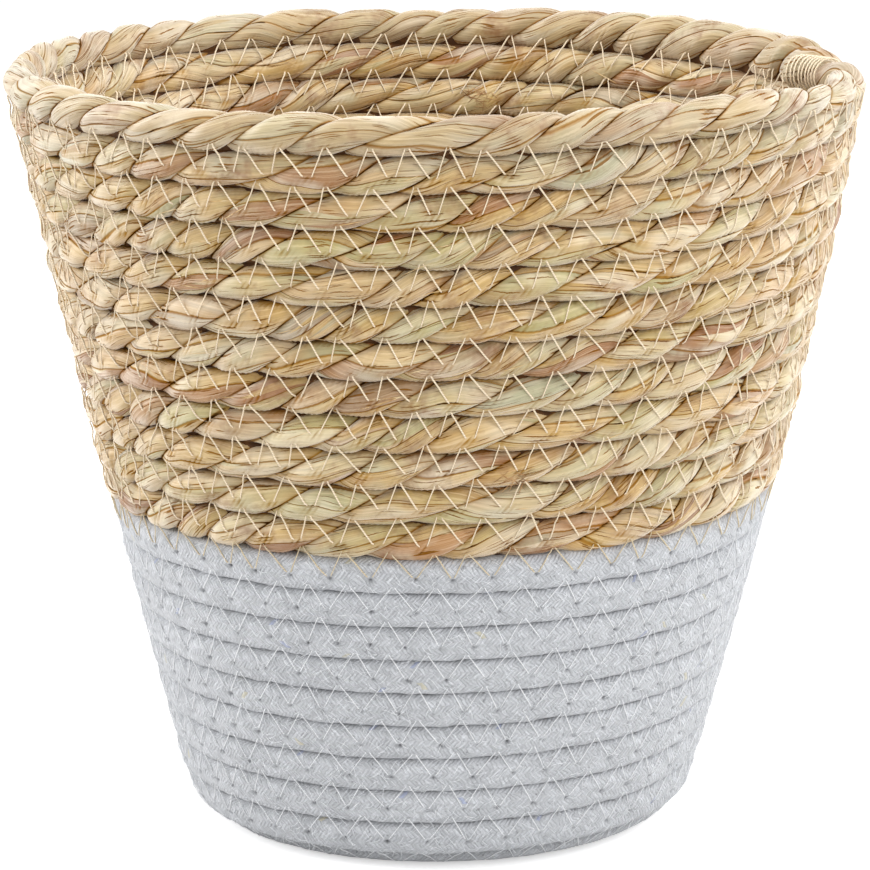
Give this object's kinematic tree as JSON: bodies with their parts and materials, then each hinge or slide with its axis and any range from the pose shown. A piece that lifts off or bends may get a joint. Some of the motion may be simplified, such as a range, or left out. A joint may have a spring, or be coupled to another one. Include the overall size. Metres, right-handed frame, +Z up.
{
  "type": "vase cover",
  "caption": "Tapered round vase or pot cover coiled from rope: grey braided cotton below, twisted seagrass above, sewn with zigzag seams, with the rope's end tucked inside the rim.",
  "frame": {"origin": "on the floor under the middle of the base", "axes": "+Z up out of the mouth, -Y towards the side the picture shows, +X to that side's right"},
  "size_m": [0.2484, 0.2492, 0.228],
  "materials": {
    "cotton_rope": "light grey braided cotton, matt and slightly fuzzy",
    "seagrass_rope": "dried seagrass twisted into rope, straw, green and brown, satin",
    "seam_thread": "cream polyester sewing thread",
    "clear_thread": "pale grey translucent monofilament thread"
  },
  "bodies": {
    "root": {"cotton_base_coil": "cotton_rope", "cotton_wall_coil": "cotton_rope", "seagrass_coil": "seagrass_rope", "rope_end_whipping": "seam_thread", "cotton_needle_thread": "clear_thread", "cotton_bobbin_thread": "clear_thread", "seagrass_needle_thread": "seam_thread", "seagrass_bobbin_thread": "seam_thread"}
  },
  "joints": []
}
